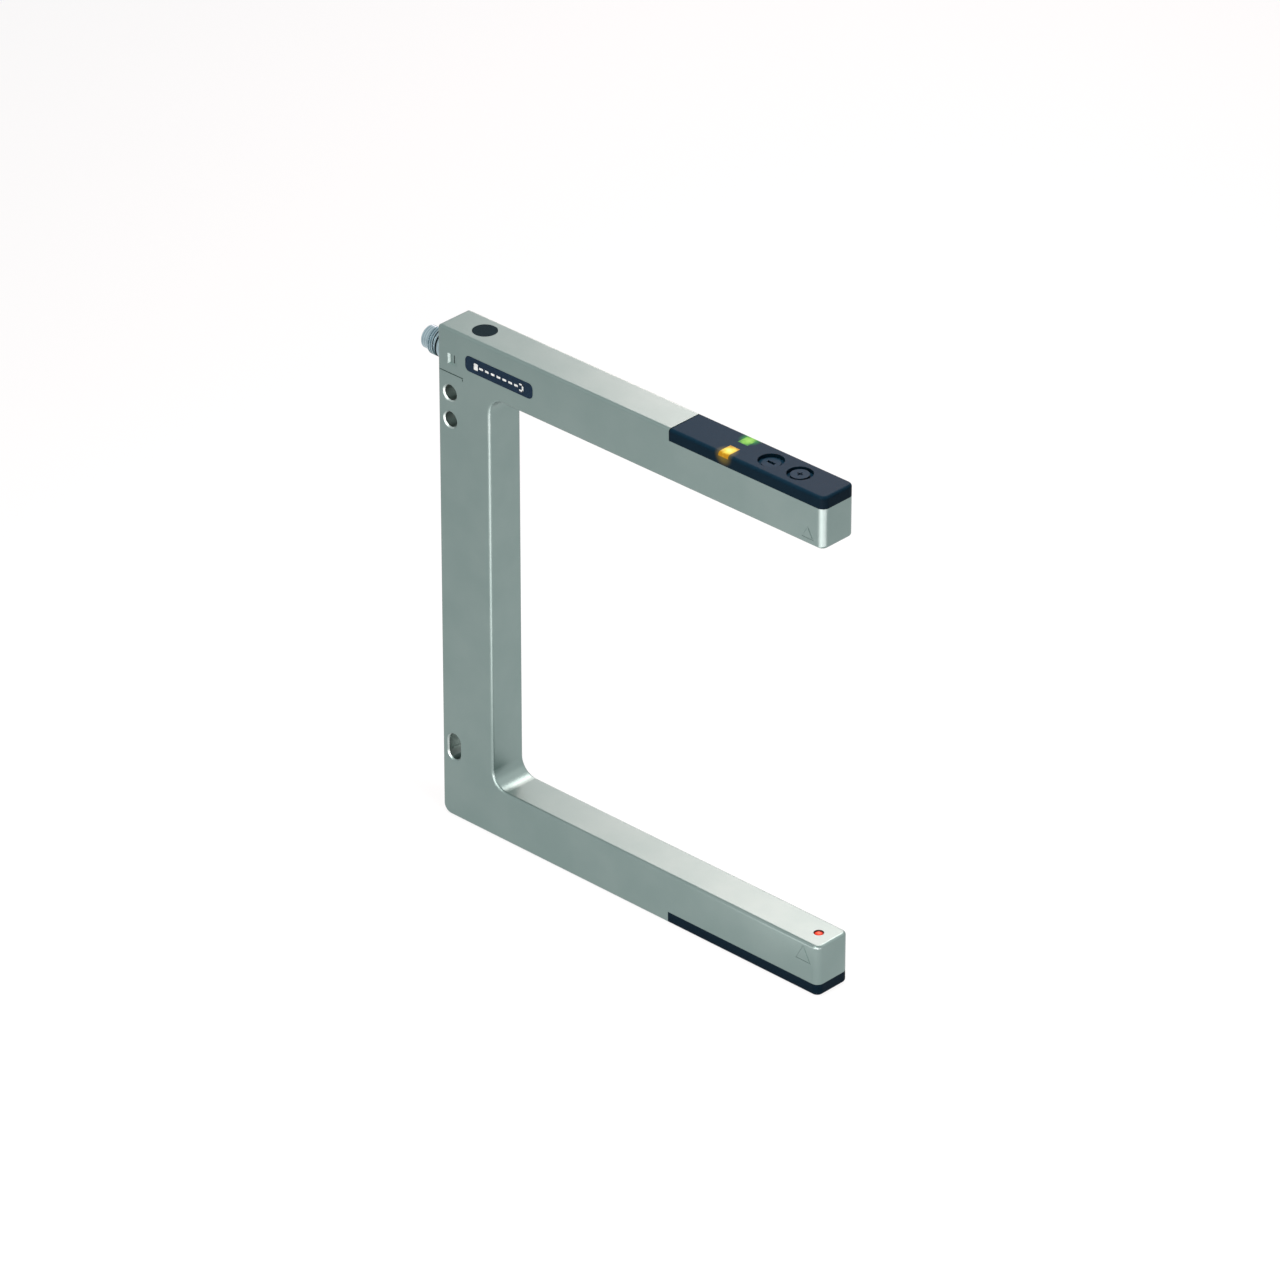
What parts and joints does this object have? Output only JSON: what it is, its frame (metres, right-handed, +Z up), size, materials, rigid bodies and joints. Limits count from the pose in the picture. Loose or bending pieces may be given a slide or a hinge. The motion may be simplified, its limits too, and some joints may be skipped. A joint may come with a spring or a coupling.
{
  "type": "fork light barrier sensor",
  "caption": "U-shaped optical fork sensor: a beam crosses the gap between its two arms, with an M8 connector, indicator windows and turning controls.",
  "frame": {"origin": "centre of the upper fixing hole, halfway through the housing's thickness", "axes": "+X from the spine out along the arms, +Y through the thickness away from the front face, +Z up from the lower arm to the upper arm"},
  "size_m": [0.1483, 0.0121, 0.1506],
  "materials": {
    "nickel_plated_zinc": "satin nickel plating on a zinc die casting",
    "black_cover_plastic": "fine matt moulded plastic, blue-black",
    "black_rubber": "moulded nitrile rubber",
    "yellow_window_plastic": "clear tinted plastic, lit yellow from behind",
    "green_window_plastic": "clear tinted plastic, lit green from behind",
    "led_ceramic": "white ceramic body with a small resin lens",
    "control_plastic": "dark moulded plastic with a slight sheen",
    "trimmer_plastic": "blue moulded plastic",
    "board_laminate": "glass fibre laminate under green solder resist",
    "header_plastic": "natural moulded plastic",
    "chip_resistor_ceramic": "ceramic chips with tinned ends",
    "chip_plastic": "matt moulding compound",
    "clear_lens": "clear moulded lens",
    "holder_plastic": "light-tight black moulding",
    "photodiode_resin": "dark red filter resin",
    "red_lit_lens": "clear lens lit red from behind",
    "red_led_resin": "red tinted resin",
    "dark_plate_film": "printed film on a thin plate",
    "nickel_plated_brass": "turned brass with bright nickel plating",
    "insert_plastic": "glass-filled nylon",
    "gold_plated_brass": "turned pins with gold plating",
    "wire_insulation": "coloured thin-wall insulation",
    "ribbon_film": "amber polyimide film over copper tracks"
  },
  "bodies": {
    "housing": {"housing": "nickel_plated_zinc", "control_cover": "black_cover_plastic", "emitter_cover": "black_cover_plastic", "control_cover_seal": "black_rubber", "emitter_cover_seal": "black_rubber", "yellow_light_pipe": "yellow_window_plastic", "green_light_pipe": "green_window_plastic", "yellow_indicator_led": "led_ceramic", "green_indicator_led": "led_ceramic", "sensitivity_trimmer_base": "trimmer_plastic", "mode_switch_base": "trimmer_plastic", "control_board": "board_laminate", "control_board_header": "header_plastic", "control_board_parts": "chip_resistor_ceramic", "control_chip": "chip_plastic", "amplifier_chip": "chip_plastic", "emitter_board": "board_laminate", "emitter_board_header": "header_plastic", "emitter_board_parts": "chip_resistor_ceramic", "driver_chip": "chip_plastic", "receiver_lens": "clear_lens", "receiver_lens_holder": "holder_plastic", "receiver_photodiode": "photodiode_resin", "emitter_lens": "red_lit_lens", "emitter_lens_holder": "holder_plastic", "emitter_led": "red_led_resin", "channel_plug": "black_rubber", "label_plate": "dark_plate_film", "connector_shell": "nickel_plated_brass", "connector_o_ring": "black_rubber", "connector_insert": "insert_plastic", "connector_pins": "gold_plated_brass", "connector_leads": "wire_insulation", "link_ribbon": "ribbon_film"},
    "sensitivity_control": {"sensitivity_adjuster": "control_plastic", "sensitivity_seal": "black_rubber"},
    "mode_control": {"mode_selector": "control_plastic", "mode_seal": "black_rubber"}
  },
  "joints": [
    {"name": "sensitivity_turn", "type": "hinge", "parent": "housing", "child": "sensitivity_control", "pos_m": [0.1108, 0, 0.017], "axis": [0, 0, 1], "range_deg": [-135, 135]},
    {"name": "mode_turn", "type": "hinge", "parent": "housing", "child": "mode_control", "pos_m": [0.1209, 0, 0.017], "axis": [0, 0, 1], "range_deg": [0, 90]}
  ]
}
